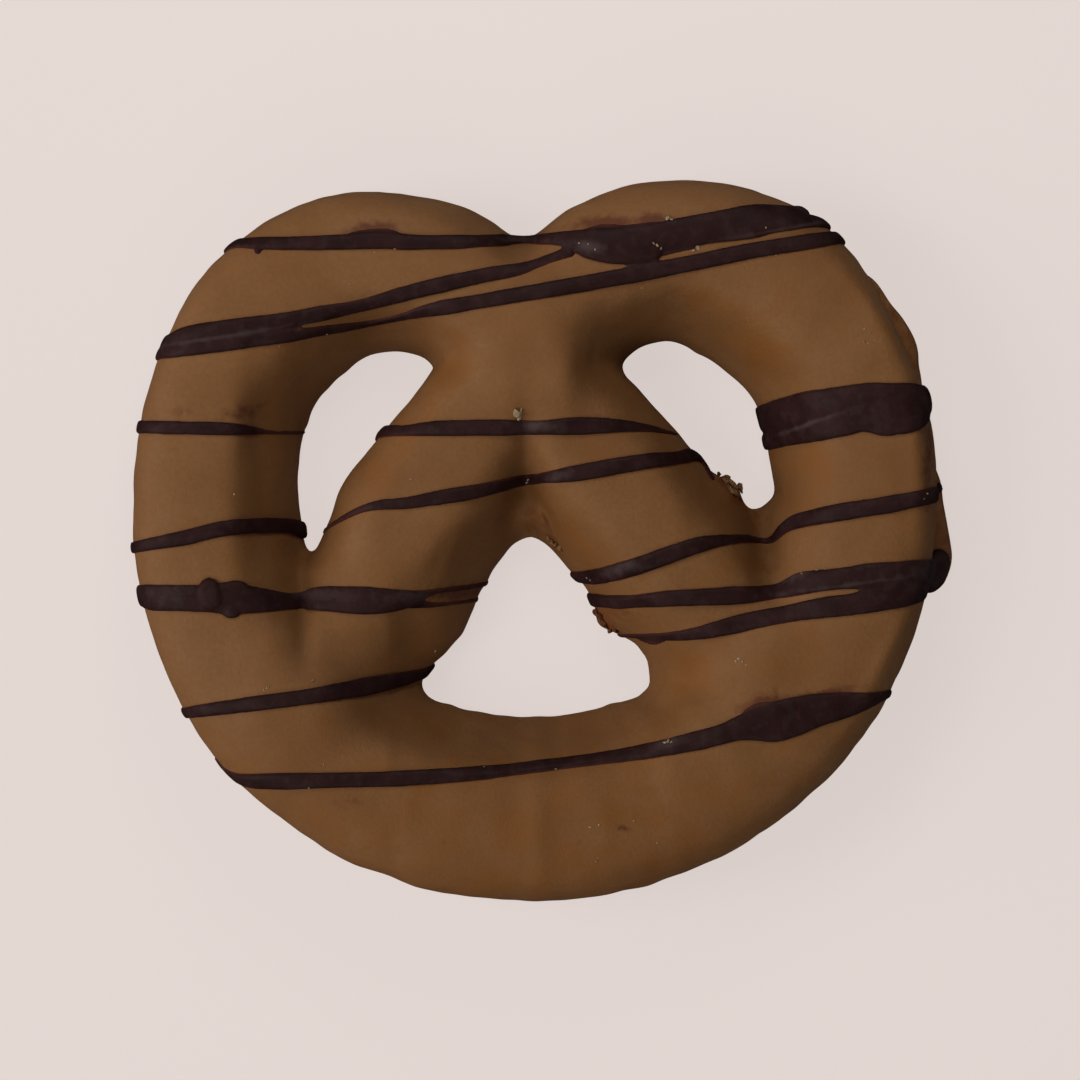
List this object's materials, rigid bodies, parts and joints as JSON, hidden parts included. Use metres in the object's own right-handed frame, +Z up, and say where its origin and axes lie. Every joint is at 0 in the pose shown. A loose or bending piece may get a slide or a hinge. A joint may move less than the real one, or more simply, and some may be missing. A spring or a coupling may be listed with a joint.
{
  "type": "chocolate drizzled pretzel",
  "caption": "Thick baked pretzel under a milk chocolate coat, with thin dark chocolate lines drizzled across its top.",
  "frame": {"origin": "middle of the outline in plan, on the flat underside", "axes": "+Z up from the surface it lies on, +Y from the belly towards the crossing, +X to the right seen from above"},
  "size_m": [0.1096, 0.0982, 0.018],
  "materials": {
    "milk_coat": "satin, light milk chocolate brown",
    "dark_drizzle": "soft gloss, dark chocolate",
    "baked_crumb": "dry and rough"
  },
  "bodies": {
    "root": {"pretzel": "milk_coat"}
  },
  "joints": []
}
